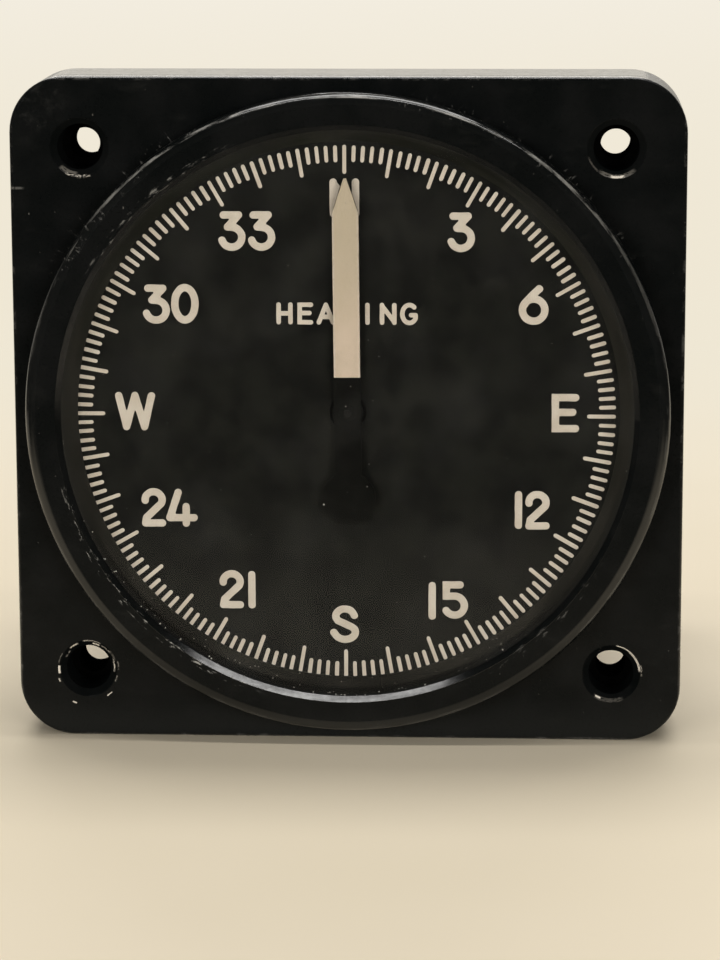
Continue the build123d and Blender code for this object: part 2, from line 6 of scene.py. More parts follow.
import bmesh
import bpy
import numpy as np
from mathutils import Matrix, Vector, noise


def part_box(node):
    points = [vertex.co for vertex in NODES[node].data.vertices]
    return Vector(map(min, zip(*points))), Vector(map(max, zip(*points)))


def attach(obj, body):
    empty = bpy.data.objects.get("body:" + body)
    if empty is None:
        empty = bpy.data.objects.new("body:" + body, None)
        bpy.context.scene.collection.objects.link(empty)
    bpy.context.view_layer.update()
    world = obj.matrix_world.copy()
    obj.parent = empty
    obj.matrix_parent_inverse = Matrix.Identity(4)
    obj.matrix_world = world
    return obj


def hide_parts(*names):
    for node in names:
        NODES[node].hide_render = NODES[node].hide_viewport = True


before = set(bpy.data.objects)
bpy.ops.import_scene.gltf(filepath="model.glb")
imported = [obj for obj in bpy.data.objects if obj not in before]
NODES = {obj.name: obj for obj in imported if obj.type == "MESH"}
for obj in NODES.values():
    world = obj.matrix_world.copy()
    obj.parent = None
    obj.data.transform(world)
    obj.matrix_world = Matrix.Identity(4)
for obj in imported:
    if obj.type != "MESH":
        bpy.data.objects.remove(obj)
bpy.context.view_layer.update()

MM = 0.001


def box_mm(name):
    """Lowest and highest corner of a CAD node, in millimetres."""
    low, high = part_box(name)
    return low / MM, high / MM


# Places that follow from the frame, in millimetres
flange_half = box_mm("front_housing")[1].x
floor_z = box_mm("front_housing")[0].z
glass_front = box_mm("cover_glass")[0].y
dial_front = box_mm("dial_plate")[0].y
coat_low, coat_high = box_mm("pointer_luminous_coat")
shell_front = box_mm("connector_shell")[0].y

# Sizes of the front that the finishes follow, in millimetres
boss_r = 38.1
lip_r = 34.4
hole_reach = 31.435
case_neck_r = 38.35
case_body_r = 34.65

# Camera, fitted to the photograph
camera_place = (24.0, -419.2, 73.95)
camera_aim = (1.43, 0.0, -8.06)
camera_roll = -0.16
camera_lens = 135.0
camera_sensor = 36.0


def tone(red, green, blue):
    """A colour as a screen shows it, 0 to 255, turned into the shader's own linear values."""
    def linear(value):
        share = value / 255
        return share / 12.92 if share <= 0.04045 else ((share + 0.055) / 1.055) ** 2.4
    return (linear(red), linear(green), linear(blue), 1.0)


class Nodes:
    """A node tree, with short calls that add nodes to it."""

    def __init__(self, tree):
        self.tree = tree

    def node(self, kind, *feeds, **settings):
        """A new node, with its inputs fed in their order by values or by other nodes' outputs."""
        made = self.tree.nodes.new(kind)
        for name, value in settings.items():
            setattr(made, name, value)
        for socket, value in zip(made.inputs, feeds):
            self.feed(socket, value)
        return made

    def feed(self, socket, value):
        if isinstance(value, bpy.types.NodeSocket):
            self.tree.links.new(value, socket)
        else:
            socket.default_value = value

    def maths(self, operation, *values):
        return self.node("ShaderNodeMath", *values, operation=operation).outputs[0]

    def plus(self, first, second):
        return self.maths("ADD", first, second)

    def minus(self, first, second):
        return self.maths("SUBTRACT", first, second)

    def absolute(self, value):
        return self.maths("ABSOLUTE", value)

    def times(self, *values):
        result = values[0]
        for value in values[1:]:
            result = self.maths("MULTIPLY", result, value)
        return result

    def most(self, *values):
        result = values[0]
        for value in values[1:]:
            result = self.maths("MAXIMUM", result, value)
        return result

    def rise(self, value, low, high, start=0.0, end=1.0):
        """Goes smoothly from start at low to end at high, and stays there past them."""
        feeds = (value, low, high, start, end)
        return self.node("ShaderNodeMapRange", *feeds, interpolation_type="SMOOTHSTEP").outputs[0]

    def blend(self, share, first, second):
        """A shader between first and second."""
        return self.node("ShaderNodeMixShader", share, first, second).outputs[0]


class Finish(Nodes):
    """A material, with short calls for the places and patterns on it, in millimetres."""

    def __init__(self, name, colour, roughness, **sockets):
        self.material = bpy.data.materials.new(name)
        self.material.use_nodes = True
        super().__init__(self.material.node_tree)
        self.shader = self.tree.nodes["Principled BSDF"]
        self.set("Base Color", colour)
        self.set("Roughness", roughness)
        for socket, value in sockets.items():
            self.set(socket.replace("_", " "), value)
        place = self.node("ShaderNodeTexCoord").outputs["Object"]
        self.place = self.scaled(place, (1 / MM, 1 / MM, 1 / MM))
        self.x, self.y, self.z = self.node("ShaderNodeSeparateXYZ", self.place).outputs

    def set(self, socket, value):
        self.feed(self.shader.inputs[socket], value)

    def show(self, shader):
        """Makes a shader the material's surface."""
        self.feed(self.tree.nodes["Material Output"].inputs["Surface"], shader)

    def band(self, value, middle, half, soft):
        """1 within half of the middle, and smoothly 0 past that plus soft."""
        return self.rise(self.absolute(self.minus(value, middle)), half, half + soft, 1.0, 0.0)

    def vector(self, x, y, z):
        return self.node("ShaderNodeCombineXYZ", x, y, z).outputs[0]

    def scaled(self, vector, factors):
        return self.node("ShaderNodeVectorMath", vector, factors, operation="MULTIPLY").outputs[0]

    def grain(self, scale, detail=3.0, rough=0.55, vector=None):
        """Fractal noise about 0.5, with scale in features per millimetre."""
        made = self.node("ShaderNodeTexNoise")
        self.feed(made.inputs["Vector"], vector or self.place)
        made.inputs["Scale"].default_value = scale
        made.inputs["Detail"].default_value = detail
        made.inputs["Roughness"].default_value = rough
        return made.outputs["Fac"]

    def specks(self, scale, size, share, vector=None):
        """Small dots, one in that share of the cells of a given scale."""
        made = self.node("ShaderNodeTexVoronoi")
        self.feed(made.inputs["Vector"], vector or self.place)
        made.inputs["Scale"].default_value = scale
        near = self.rise(made.outputs["Distance"], size * 0.6, size, 1.0, 0.0)
        split = self.node("ShaderNodeSeparateColor", made.outputs["Color"])
        picked = self.maths("LESS_THAN", split.outputs[0], share)
        return self.times(near, picked)

    def radius(self, centre=(0.0, 0.0)):
        """Distance from a line along Y through centre, in millimetres."""
        across = self.minus(self.x, centre[0])
        up = self.minus(self.z, centre[1])
        return self.maths("SQRT", self.plus(self.times(across, across), self.times(up, up)))

    def facing(self, heading, centre=(0.0, 0.0)):
        """Cosine of the angle between a heading on the dial and the way from centre to this place."""
        turn = math.radians(heading)
        across = self.times(self.minus(self.x, centre[0]), math.sin(turn))
        up = self.times(self.minus(self.z, centre[1]), math.cos(turn))
        return self.maths("DIVIDE", self.plus(across, up), self.most(self.radius(centre), 0.01))

    def round_place(self):
        """Place along the rim, out from the axis and along it, for marks that run round."""
        turn = self.maths("ARCTAN2", self.x, self.z)
        return self.vector(self.times(turn, boss_r), self.radius(), self.y)

    def mixed(self, share, first, second):
        """A colour between first and second."""
        made = self.node("ShaderNodeMix", share, data_type="RGBA")
        self.feed(made.inputs[6], first)
        self.feed(made.inputs[7], second)
        return made.outputs[2]

    def bump(self, height, depth, strength=1.0):
        """Relief of height times depth, in millimetres."""
        made = self.node("ShaderNodeBump")
        made.inputs["Strength"].default_value = strength
        made.inputs["Distance"].default_value = depth * MM
        self.feed(made.inputs["Height"], height)
        self.tree.links.new(made.outputs[0], self.shader.inputs["Normal"])


def scuffs(paint, runs, heading, spread, inner, outer):
    """Fine pale scratches that cross the rim about a heading."""
    r = paint.radius()
    lines = paint.grain(1.3, 5, 0.72, paint.scaled(runs, (1.5, 0.45, 1.0)))
    patches = paint.grain(0.35, 3, 0.6)
    where = paint.times(
        paint.rise(r, inner, inner + 0.5),
        paint.rise(r, outer, outer - 0.7),
        paint.rise(paint.facing(heading), spread, spread + (1 - spread) * 0.5),
    )
    return paint.times(where, paint.rise(lines, 0.58, 0.66), paint.rise(patches, 0.42, 0.58))


# Worn places round each panel hole: heading and half spread in degrees, radius and half width in
# millimetres, strength, and how broken the mark is
HOLE_WEAR = {
    (-1, 1): [
        (187, 24, 3.42, 0.13, 0.75, 0.47), (205, 22, 3.20, 0.22, 0.14, 0.40),
        (172, 14, 3.55, 0.10, 0.40, 0.48),
    ],
    (1, 1): [
        (178, 16, 3.36, 0.13, 0.95, 0.36), (178, 42, 3.30, 0.20, 0.13, 0.38),
        (225, 30, 3.40, 0.10, 0.07, 0.40),
    ],
    (-1, -1): [
        (328, 11, 3.25, 0.09, 0.80, 0.40), (304, 10, 3.00, 0.08, 0.30, 0.42),
        (290, 12, 3.60, 0.06, 0.16, 0.40), (267, 9, 3.52, 0.12, 0.95, 0.30),
        (247, 4, 3.80, 0.09, 0.55, 0.30), (8, 20, 3.42, 0.08, 0.50, 0.42),
        (18, 9, 3.05, 0.10, 0.95, 0.35), (42, 14, 3.20, 0.10, 0.45, 0.44),
        (62, 14, 3.35, 0.14, 0.12, 0.42), (84, 16, 3.15, 0.09, 0.85, 0.40),
        (84, 9, 3.68, 0.07, 0.22, 0.40), (110, 7, 3.62, 0.08, 0.20, 0.42),
        (141, 6, 4.05, 0.06, 0.90, 0.25), (202, 4, 4.55, 0.09, 0.70, 0.30),
    ],
    (1, -1): [
        (30, 22, 3.46, 0.07, 0.80, 0.30), (62, 26, 3.40, 0.12, 0.85, 0.34),
        (84, 12, 3.66, 0.08, 0.30, 0.42), (208, 7, 3.30, 0.09, 0.95, 0.20),
        (186, 34, 3.35, 0.20, 0.09, 0.40),
    ],
}


def hole_place(paint):
    """Distance from the axis of the nearest of the four panel holes."""
    across = paint.minus(paint.absolute(paint.x), hole_reach)
    up = paint.minus(paint.absolute(paint.z), hole_reach)
    return paint.maths("SQRT", paint.plus(paint.times(across, across), paint.times(up, up)))


def hole_wear(paint):
    """Bare and chipped paint round the four panel holes, each worn in its own way."""
    front = paint.rise(paint.y, 0.9, 0.6)
    worn = 0.0
    for (side, level), places in HOLE_WEAR.items():
        centre = (side * hole_reach, level * hole_reach)
        away = paint.radius(centre)
        across = paint.minus(paint.x, centre[0])
        up = paint.minus(paint.z, centre[1])
        turn = paint.maths("ARCTAN2", across, up)
        round_hole = paint.vector(paint.times(turn, 3.5), paint.times(away, 3.2), paint.y)
        chips = paint.grain(1.9, 4, 0.7, round_hole)
        for heading, spread, middle, half, strength, cut in places:
            ring = paint.band(away, middle, half * 0.7, half * 0.6)
            edge = math.cos(math.radians(spread))
            held = paint.rise(paint.facing(heading, centre), edge, edge + (1 - edge) * 0.5)
            broken = paint.rise(chips, cut, cut + 0.10)
            worn = paint.most(worn, paint.times(ring, held, broken, strength))
    return paint.times(worn, front)


def edge_wear_and_highlight(paint):
    """Paint rubbed off the flange's front edges and off a corner, and along the upper front edge a
    stronger painted highlight, broken in places.
    """
    across = paint.absolute(paint.x)
    up = paint.absolute(paint.z)
    reach = paint.most(across, up)
    broken = paint.grain(0.5, 5, 0.66)
    near_side = paint.rise(reach, flange_half - 0.5, flange_half - 0.15)
    rim = paint.times(near_side, paint.rise(paint.y, 0.55, 0.25))
    # Painted highlight: a broken pale line on the top face just behind the upper front edge.
    top_edge_highlight = paint.times(
        paint.rise(paint.z, flange_half - 0.3, flange_half - 0.1),
        paint.band(paint.y, 0.85, 0.35, 0.3),
        paint.rise(broken, 0.36, 0.60, 0.10, 0.60),
    )
    corner = paint.times(
        paint.band(paint.radius((-36.3, 36.4)), 0.8, 1.5, 1.2),
        paint.rise(paint.grain(0.9, 4, 0.6), 0.45, 0.7),
        paint.rise(paint.y, 2.0, 0.5),
        0.015,
    )
    return paint.most(paint.times(rim, paint.rise(broken, 0.5, 0.66), 0.12), top_edge_highlight, corner)


def housing_finish():
    """Black enamel on cast aluminium, rubbed thin on the boss's rim and chipped round the holes, with
    painted highlights and a painted reflection.
    """
    paint = Finish("housing_black_enamel", tone(10, 11, 11), 0.36, Specular_IOR_Level=0.2)
    r = paint.radius()
    runs = paint.round_place()
    fine = paint.grain(2.2, 3)
    black = paint.mixed(paint.rise(paint.grain(0.16, 4), 0.35, 0.7), tone(9, 11, 11), tone(16, 17, 17))
    # Painted reflection of the pale floor: the enamel is made lighter towards the flange's bottom.
    black = paint.mixed(paint.rise(paint.z, -34.0, -39.0), black, tone(24, 25, 24))
    streaks = paint.scaled(paint.place, (0.35, 1.0, 0.9))
    haze = paint.times(paint.rise(paint.grain(0.5, 5, 0.6, streaks), 0.56, 0.78), 0.25)
    dust = paint.most(
        paint.specks(1.1, 0.07, 0.12),
        paint.specks(0.5, 0.05, 0.3, paint.scaled(paint.place, (1.0, 1.0, 0.45))),
    )

    on_boss = paint.rise(paint.y, -1.6, -2.2)
    # Painted highlight: the pale band on the rim's outer edge is partly rubbed-thin paint and partly the
    # overhead light's highlight, made strongest at the top.
    rim = paint.times(paint.band(r, 37.72, 0.10, 0.12), on_boss)
    upper = paint.rise(paint.facing(0), 0.30, 0.95, 0.15, 1.0)
    streak = paint.grain(0.5, 5, 0.62, paint.scaled(runs, (0.4, 2.6, 1.0)))
    rubbed = paint.rise(streak, 0.44, 0.62)
    inner = paint.times(paint.band(r, lip_r + 0.25, 0.28, 0.25), on_boss)
    past_bevel = paint.rise(r, lip_r - 0.9, lip_r - 0.8)
    bevel = paint.times(paint.rise(r, lip_r + 0.08, lip_r - 0.02), past_bevel)
    ridge = paint.rise(r, 36.6, 37.0)
    rounded = paint.times(paint.most(bevel, ridge), on_boss)
    chipped = paint.rise(paint.grain(1.1, 4, 0.7, paint.scaled(runs, (0.5, 2.0, 1.0))), 0.56, 0.66)
    lip_places = paint.most(
        paint.times(paint.rise(paint.facing(228), 0.84, 0.97), 0.7),
        paint.times(paint.rise(paint.facing(318), 0.93, 0.98), 0.3),
        paint.times(paint.rise(paint.facing(138), 0.94, 0.99), 0.12),
    )
    nick = paint.times(
        paint.band(paint.z, 26.6, 0.10, 0.08),
        paint.rise(paint.x, -37.9, -38.6),
        paint.rise(paint.grain(1.5, 2), 0.3, 0.45),
        paint.rise(paint.y, 0.9, 0.4),
    )
    pale = paint.most(
        paint.times(rim, rubbed, upper, 0.5),
        paint.times(inner, chipped, lip_places, 0.9),
        paint.times(scuffs(paint, runs, -46, 0.93, 36.6, 39.6), 0.30),
        paint.times(scuffs(paint, runs, 38, 0.86, 36.9, 39.0), 0.25),
        paint.times(nick, 0.15),
        edge_wear_and_highlight(paint),
    )
    holes = hole_wear(paint)

    colour = paint.mixed(haze, black, tone(38, 38, 36))
    colour = paint.mixed(paint.times(dust, 0.35), colour, tone(130, 127, 120))
    colour = paint.mixed(pale, colour, tone(176, 174, 168))
    paint.set("Base Color", paint.mixed(holes, colour, tone(222, 214, 200)))
    worn = paint.most(pale, holes, paint.times(haze, 0.6))
    reach = paint.most(paint.absolute(paint.x), paint.absolute(paint.z))
    side = paint.rise(reach, flange_half - 0.4, flange_half - 0.1)
    top = paint.rise(paint.z, flange_half - 0.3, flange_half - 0.1)
    behind_edge = paint.times(top, paint.band(paint.y, 2.3, 0.5, 0.6), 0.6)
    handled = paint.times(paint.most(side, rounded), paint.minus(1.0, behind_edge))
    away = hole_place(paint)
    inside = paint.times(paint.rise(away, 3.45, 3.35), paint.rise(paint.y, 0.05, 0.15))
    plain = paint.rise(fine, 0.2, 0.8, 0.25, 0.33)
    smooth = paint.rise(fine, 0.2, 0.8, 0.10, 0.15)
    smooth = paint.plus(smooth, paint.rise(streak, 0.35, 0.65, 0.0, 0.06))
    sheen = paint.plus(plain, paint.times(handled, paint.minus(smooth, plain)))
    paint.set("Roughness", paint.most(sheen, paint.rise(worn, 0.0, 1.0, 0.1, 0.62)))
    level = paint.rise(handled, 0.0, 1.0, 0.12, 0.55)
    paint.set("Specular IOR Level", paint.times(level, paint.minus(1.0, inside)))
    relief = paint.times(fine, 0.5, paint.minus(1.0, paint.times(rounded, 0.9)))
    paint.bump(relief, 0.02, 0.5)
    return paint.material


def case_finish():
    """Satin black paint on a drawn can, with faint draw lines and dust."""
    paint = Finish("rear_case_black", tone(20, 20, 21), 0.45, Specular_IOR_Level=0.35)
    lines = paint.grain(1.0, 4, 0.6, paint.scaled(paint.round_place(), (2.2, 0.4, 0.12)))
    cloud = paint.grain(0.12, 4)
    dust = paint.specks(0.9, 0.07, 0.1)
    rim_ends = paint.most(paint.rise(paint.y, 14.0, 12.5), paint.band(paint.y, 21.8, 0.3, 0.5))
    back_edge = paint.band(paint.radius(), case_body_r - 1.0, 0.9, 0.4)
    neck = paint.rise(paint.radius(), case_neck_r - 0.25, case_neck_r - 0.05)
    rub = paint.times(
        paint.most(paint.times(back_edge, paint.rise(paint.y, 63.2, 64.6)), paint.times(neck, rim_ends)),
        paint.rise(paint.grain(0.7, 5, 0.65), 0.55, 0.66),
        0.6,
    )
    colour = paint.mixed(paint.rise(cloud, 0.3, 0.7), tone(17, 17, 18), tone(26, 26, 26))
    colour = paint.mixed(paint.times(dust, 0.5), colour, tone(140, 138, 132))
    paint.set("Base Color", paint.mixed(rub, colour, tone(150, 149, 146)))
    paint.set("Roughness", paint.rise(lines, 0.2, 0.8, 0.36, 0.54))
    paint.bump(lines, 0.015, 0.4)
    return paint.material


def plain_paint(name, dark, light, roughness, scale=0.6, depth=0.01, level=0.35):
    """A matt paint with slight clouds, fine grain and a few dust specks."""
    paint = Finish(name, light, roughness, Specular_IOR_Level=level)
    fine = paint.grain(4.0, 3)
    colour = paint.mixed(paint.rise(paint.grain(scale, 4), 0.3, 0.7), dark, light)
    dust = paint.times(paint.specks(1.0, 0.05, 0.08), 0.35)
    paint.set("Base Color", paint.mixed(dust, colour, tone(120, 118, 110)))
    paint.set("Roughness", paint.rise(fine, 0.2, 0.8, roughness - 0.08, roughness + 0.08))
    paint.bump(fine, depth, 0.5)
    return paint.material


def mask_finish():
    """Matt grey-black paint on the ring between glass and dial, dusty where dust can lie, with painted
    shade at its top and its lower outer edge, and painted light at its sides.
    """
    paint = Finish("mask_ring_grey", tone(30, 30, 28), 0.7, Specular_IOR_Level=0.2)
    runs = paint.round_place()
    smear = paint.grain(0.4, 5, 0.6, paint.scaled(runs, (0.25, 1.6, 1.0)))
    # Painted shade: the ring's tones are a little darker at the top than at the bottom.
    upper = paint.rise(paint.facing(0), -0.8, 0.7)
    light = paint.mixed(upper, tone(44, 42, 37), tone(38, 38, 33))
    dark = paint.mixed(upper, tone(23, 22, 19), tone(22, 22, 18))
    colour = paint.mixed(paint.rise(smear, 0.38, 0.66), dark, light)
    # Painted light: the ring is made lighter at its sides.
    beside = paint.rise(paint.absolute(paint.facing(0)), 0.8, 0.2)
    colour = paint.mixed(paint.times(beside, 0.5), colour, tone(52, 50, 45))
    outer = paint.band(paint.radius(), 33.9, 0.45, 0.3)
    shade = paint.times(outer, paint.rise(paint.facing(175), 0.2, 0.8), 0.85)
    colour = paint.mixed(shade, colour, tone(6, 6, 5))
    low = paint.rise(paint.facing(185), 0.5, 0.95)
    grit = paint.times(paint.specks(2.2, 0.2, 0.25), low, 0.7)
    paint.set("Base Color", paint.mixed(grit, colour, tone(170, 166, 156)))
    paint.bump(smear, 0.01, 0.5)
    return paint.material


def marking_finish():
    """Thick cream paint of the figures and marks, a little uneven and aged."""
    paint = Finish("aged_cream_marking", tone(196, 184, 158), 0.55, Specular_IOR_Level=0.35)
    cloud = paint.rise(paint.grain(0.45, 4), 0.3, 0.72)
    fine = paint.grain(5.0, 4, 0.6)
    colour = paint.mixed(cloud, tone(216, 205, 192), tone(204, 191, 176))
    colour = paint.mixed(paint.times(paint.rise(fine, 0.55, 0.75), 0.35), colour, tone(168, 158, 142))
    paint.set("Base Color", colour)
    paint.set("Roughness", paint.rise(fine, 0.3, 0.7, 0.45, 0.65))
    paint.bump(fine, 0.02, 0.5)
    return paint.material


def coat_finish():
    """Grainy luminous compound, yellowed and slightly speckled."""
    paint = Finish("luminous_compound", tone(196, 180, 148), 0.8, Specular_IOR_Level=0.2)
    cloud = paint.rise(paint.grain(0.3, 4, 0.6, paint.scaled(paint.place, (1.0, 1.0, 0.5))), 0.32, 0.7)
    grains = paint.grain(6.0, 4, 0.7)
    lower = paint.rise(paint.z, 22.0, 4.0)
    base = paint.mixed(lower, tone(192, 177, 156), tone(214, 194, 176))
    colour = paint.mixed(paint.times(cloud, 0.5), base, tone(188, 173, 150))
    colour = paint.mixed(paint.times(paint.rise(grains, 0.54, 0.72), 0.45), colour, tone(150, 134, 104))
    across = paint.absolute(paint.plus(paint.x, paint.times(paint.z, 0.0087)))
    rubbed_edge = paint.times(paint.rise(across, 1.25, 1.5), paint.rise(grains, 0.4, 0.6))
    colour = paint.mixed(paint.times(rubbed_edge, 0.6), colour, tone(226, 214, 204))
    paint.set("Base Color", colour)
    paint.bump(grains, 0.05, 0.6)
    return paint.material


def glass_finish():
    """Flat glass with a dull coat against glare: a faint mirror with a trace of dust."""
    paint = Finish("coated_glass", tone(200, 200, 196), 0.5)
    clear = paint.node("ShaderNodeBsdfTransparent", (0.97, 0.975, 0.97, 1.0))
    mirror = paint.node("ShaderNodeBsdfGlossy", (0.9, 0.92, 1.0, 1.0), 0.04)
    bend = paint.node("ShaderNodeFresnel", 1.2)
    pane = paint.blend(bend.outputs[0], clear.outputs[0], mirror.outputs[0])
    film = paint.rise(paint.grain(0.11, 4, 0.55), 0.42, 0.75, 0.0, 0.012)
    rim_dust = paint.rise(paint.radius(), 33.2, 34.6, 0.0, 0.05)
    dots = paint.times(paint.specks(0.8, 0.05, 0.12), 0.45)
    front = paint.maths("LESS_THAN", paint.y, glass_front + 0.3)
    dirt = paint.times(paint.most(paint.plus(film, rim_dust), dots), front)
    paint.show(paint.blend(dirt, pane, paint.shader.outputs[0]))
    return paint.material


def bare_metal(name, colour, roughness, stretch=(1.0, 1.0, 1.0), scale=1.5, dull=0.35):
    """Bare metal with fine machining marks and patches where it has gone dull."""
    metal = Finish(name, colour, roughness, Metallic=1.0)
    marks = metal.grain(scale, 4, 0.6, metal.scaled(metal.place, stretch))
    cloud = metal.rise(metal.grain(0.3, 4), 0.4, 0.7)
    dark = tuple(part * (1 - dull) for part in colour[:3]) + (1.0,)
    metal.set("Base Color", metal.mixed(cloud, colour, dark))
    metal.set("Roughness", metal.rise(marks, 0.25, 0.75, roughness - 0.1, roughness + 0.12))
    metal.bump(marks, 0.012, 0.4)
    return metal.material


def soft_plastic(name, colour, roughness, level=0.35):
    """Rubber, sleeve, board or moulding: slight clouds and a fine grain."""
    made = Finish(name, colour, roughness, Specular_IOR_Level=level)
    fine = made.grain(3.0, 4, 0.6)
    dark = tuple(part * 0.7 for part in colour[:3]) + (1.0,)
    made.set("Base Color", made.mixed(made.rise(made.grain(0.5, 4), 0.3, 0.7), colour, dark))
    made.set("Roughness", made.rise(fine, 0.25, 0.75, roughness - 0.08, roughness + 0.08))
    made.bump(fine, 0.015, 0.4)
    return made.material


def jewel_finish():
    """Polished synthetic stone of a pivot bearing."""
    stone = Finish("jewel_stone", tone(150, 30, 52), 0.08, IOR=1.76)
    cloud = stone.rise(stone.grain(2.0, 3), 0.3, 0.7)
    stone.set("Base Color", stone.mixed(cloud, tone(150, 30, 52), tone(120, 20, 44)))
    return stone.material


def lamination_finish():
    """Stack of thin steel sheets, seen as fine lines across the axis."""
    stack = Finish("steel_laminations", tone(120, 118, 116), 0.5, Metallic=0.9)
    sheet = 0.5
    sheets = stack.maths("FRACT", stack.maths("DIVIDE", stack.y, sheet))
    seam = stack.band(sheets, 0.5, 0.36, 0.1)
    rust = stack.rise(stack.grain(0.8, 4), 0.5, 0.7)
    colour = stack.mixed(seam, tone(60, 54, 50), tone(128, 126, 124))
    stack.set("Base Color", stack.mixed(stack.times(rust, 0.4), colour, tone(96, 74, 56)))
    stack.bump(seam, 0.05, 0.6)
    return stack.material


def winding_finish():
    """Enamelled copper wire wound side by side."""
    wire = Finish("enamelled_copper_wire", tone(150, 72, 38), 0.35, Metallic=0.7)
    wire_pitch = 0.3
    turns = wire.maths("SINE", wire.times(wire.radius(), math.tau / wire_pitch))
    layers = wire.maths("SINE", wire.times(wire.y, math.tau / wire_pitch))
    height = wire.plus(turns, layers)
    crest = wire.rise(height, -1.5, 1.5)
    wire.set("Base Color", wire.mixed(crest, tone(104, 46, 24), tone(168, 84, 46)))
    wire.bump(height, 0.05, 0.6)
    return wire.material


def tipped_steel():
    """Polished steel of the rotor's shaft, painted black where it shows in front of the dial."""
    metal = Finish("blacked_shaft_steel", tone(168, 168, 166), 0.34)
    behind = metal.rise(metal.y, dial_front - 0.3, dial_front)
    metal.set("Base Color", metal.mixed(behind, tone(14, 14, 14), tone(168, 168, 166)))
    metal.set("Metallic", behind)
    marks = metal.grain(1.5, 4)
    metal.set("Roughness", metal.rise(marks, 0.25, 0.75, 0.3, 0.55))
    metal.bump(marks, 0.01, 0.4)
    return metal.material


def dress_nodes(finishes, single):
    """Gives every CAD node its finish: its own if it has one, else that of the record's slot for it."""
    for name, node in NODES.items():
        for place in node.material_slots:
            plain = place.material.name.split(".")[0]
            place.link = "OBJECT"
            place.material = single.get(name, finishes[plain])


def new_piece(name, mesh, finish, body):
    """Adds a mesh as a piece that rides on a body."""
    piece = bpy.data.objects.new(name, mesh)
    bpy.context.scene.collection.objects.link(piece)
    mesh.materials.append(finish)
    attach(piece, body)
    return piece


def mesh_of(name, points, faces, smooth_below=40.0):
    """A mesh from points in millimetres, shaded smooth across gentle edges."""
    mesh = bpy.data.meshes.new(name)
    mesh.from_pydata([tuple(MM * part for part in point) for point in points], [], faces)
    shaped = bmesh.new()
    shaped.from_mesh(mesh)
    bmesh.ops.remove_doubles(shaped, verts=shaped.verts, dist=1e-8)
    bmesh.ops.recalc_face_normals(shaped, faces=shaped.faces)
    shaped.to_mesh(mesh)
    shaped.free()
    mesh.set_sharp_from_angle(angle=math.radians(smooth_below))
    for face in mesh.polygons:
        face.use_smooth = True
    return mesh


# Brush strokes of the figures: each is a line of points about the figure's middle, in millimetres.
# A stroke ends round, and a bar has square ends.
figure_brush = 0.88
legend_brush = 0.54
paint_height = 0.05
paint_edge = 0.012
paint_sink = 0.004
legend_scale = 0.56


def arc(middle, radii, start, end, count=14):
    """Points on part of an ellipse, with angles in degrees from +X towards +Z."""
    turns = [math.radians(start + (end - start) * i / (count - 1)) for i in range(count)]
    return [(middle[0] + radii[0] * math.cos(t), middle[1] + radii[1] * math.sin(t)) for t in turns]


def stroke(*points):
    return ("round", list(points))


def bar(start, end):
    return ("square", [start, end])


FIGURES = {
    "0": [stroke(*arc((0, 0), (1.2, 1.93), 0, 360, 40))],
    "1": [stroke((0, -1.86), (0, 1.86))],
    "2": [stroke(*arc((0.0, 0.93), (1.02, 0.98), 184, -28, 18), (-0.85, -1.2), (-1.0, -1.9)),
          stroke((-1.0, -1.9), (1.02, -1.9))],
    "3": [stroke((-0.88, 1.9), (0.88, 1.9), (-0.42, 0.5), (0.12, 0.46)),
          stroke(*arc((0.06, -0.72), (1.2, 1.18), 88, -162, 20))],
    "4": [stroke((-0.42, 1.86), (-1.44, -1.2), (1.47, -1.2)), stroke((0.52, 0.16), (0.52, -1.86))],
    "5": [stroke((0.6, 1.84), (-1.04, 1.84)), bar((-1.04, 2.26), (-1.04, 0.02)),
          stroke((-1.0, 0.42), (-0.5, 0.46), *arc((-0.06, -0.7), (1.18, 1.17), 96, -148, 20))],
    "6": [stroke(*arc((0.0, -0.56), (1.32, 1.32), 0, 360, 36)),
          stroke((0.66, 1.96), (-0.15, 1.22), (-0.8, 0.5), (-1.22, -0.1))],
    "A": [stroke((-1.5, -1.86), (0, 1.86), (1.5, -1.86)), stroke((-0.95, -0.7), (0.95, -0.7))],
    "D": [bar((-1.2, -2.3), (-1.2, 2.3)), stroke((-1.2, 1.86), (0.0, 1.86)),
          stroke(*arc((-0.1, 0), (1.4, 1.86), 90, -90, 18)), stroke((-0.1, -1.86), (-1.2, -1.86))],
    "E": [bar((-1.17, -2.3), (-1.17, 2.3)), stroke((-1.0, 1.86), (1.2, 1.86)),
          stroke((-1.0, 0.1), (0.86, 0.1)), stroke((-1.0, -1.86), (1.2, -1.86))],
    "G": [stroke(*arc((0.1, 0), (1.5, 1.9), 48, 330, 26), (1.4, -0.25)),
          stroke((1.4, -0.25), (0.45, -0.25))],
    "H": [stroke((-1.25, -1.86), (-1.25, 1.86)), stroke((1.25, -1.86), (1.25, 1.86)),
          stroke((-1.2, 0), (1.2, 0))],
    "I": [stroke((0, -1.86), (0, 1.86))],
    "N": [stroke((-1.3, -1.86), (-1.3, 1.86)), stroke((1.3, -1.86), (1.3, 1.86)),
          stroke((-1.3, 1.7), (1.3, -1.7))],
    "S": [stroke((1.16, 1.08), *arc((0.04, 0.96), (1.1, 0.9), 30, 190, 14), (-0.8, 0.42), (0.0, 0.06),
                 (0.84, -0.32), *arc((0.06, -0.95), (1.24, 0.92), 20, -150, 16), (-1.3, -1.04))],
    "W": [stroke((-1.94, 1.86), (-1.04, -1.88), (0, 1.86), (1.1, -1.88), (1.96, 1.86))],
}

